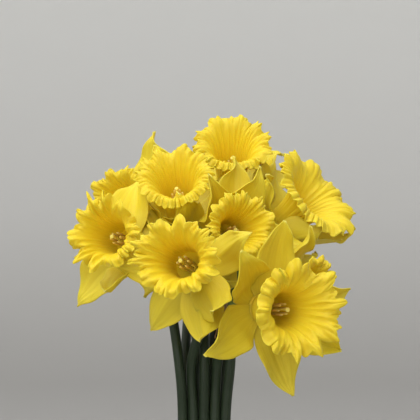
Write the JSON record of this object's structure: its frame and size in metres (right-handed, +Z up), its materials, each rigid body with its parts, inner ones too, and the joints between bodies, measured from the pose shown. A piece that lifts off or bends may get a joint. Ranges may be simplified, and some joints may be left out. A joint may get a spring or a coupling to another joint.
{
  "type": "potted daffodil",
  "caption": "Close bunch of yellow trumpet daffodils with frilled trumpets and pointed petals, on green stems with strap leaves, standing in a plain clay flowerpot.",
  "frame": {"origin": "centre of the pot's flat underside", "axes": "+Z up along the stems, -Y towards the side that most blooms face, +X to the right seen from that side"},
  "size_m": [0.2908, 0.2701, 0.4757],
  "materials": {
    "terracotta": "unglazed fired clay, matte",
    "soil": "crumbly dark potting soil, matte",
    "stem_green": "living dark green stem with fine ribs and a dull bloom",
    "papery_sheath": "dry brown membrane, thin and veined",
    "lemon_petal": "living lemon yellow petal, soft sheen",
    "golden_trumpet": "living golden yellow petal tissue, ribbed and frilled",
    "leaf_green": "living blue-green strap leaf, waxy"
  },
  "bodies": {
    "root": {"pot": "terracotta", "soil": "soil", "stem_1": "stem_green", "spathe_1": "papery_sheath", "perianth_1": "lemon_petal", "trumpet_1": "golden_trumpet", "stem_2": "stem_green", "spathe_2": "papery_sheath", "perianth_2": "lemon_petal", "trumpet_2": "golden_trumpet", "stem_3": "stem_green", "spathe_3": "papery_sheath", "perianth_3": "lemon_petal", "trumpet_3": "golden_trumpet", "stem_4": "stem_green", "spathe_4": "papery_sheath", "perianth_4": "lemon_petal", "trumpet_4": "golden_trumpet", "stem_5": "stem_green", "spathe_5": "papery_sheath", "perianth_5": "lemon_petal", "trumpet_5": "golden_trumpet", "stem_6": "stem_green", "spathe_6": "papery_sheath", "perianth_6": "lemon_petal", "trumpet_6": "golden_trumpet", "stem_7": "stem_green", "spathe_7": "papery_sheath", "perianth_7": "lemon_petal", "trumpet_7": "golden_trumpet", "stem_8": "stem_green", "spathe_8": "papery_sheath", "perianth_8": "lemon_petal", "trumpet_8": "golden_trumpet", "stem_9": "stem_green", "spathe_9": "papery_sheath", "perianth_9": "lemon_petal", "trumpet_9": "golden_trumpet", "leaf_1": "leaf_green", "leaf_2": "leaf_green", "leaf_3": "leaf_green", "leaf_4": "leaf_green", "leaf_5": "leaf_green", "leaf_6": "leaf_green", "leaf_7": "leaf_green", "leaf_8": "leaf_green", "leaf_9": "leaf_green", "leaf_10": "leaf_green", "leaf_11": "leaf_green", "leaf_12": "leaf_green"}
  },
  "joints": []
}
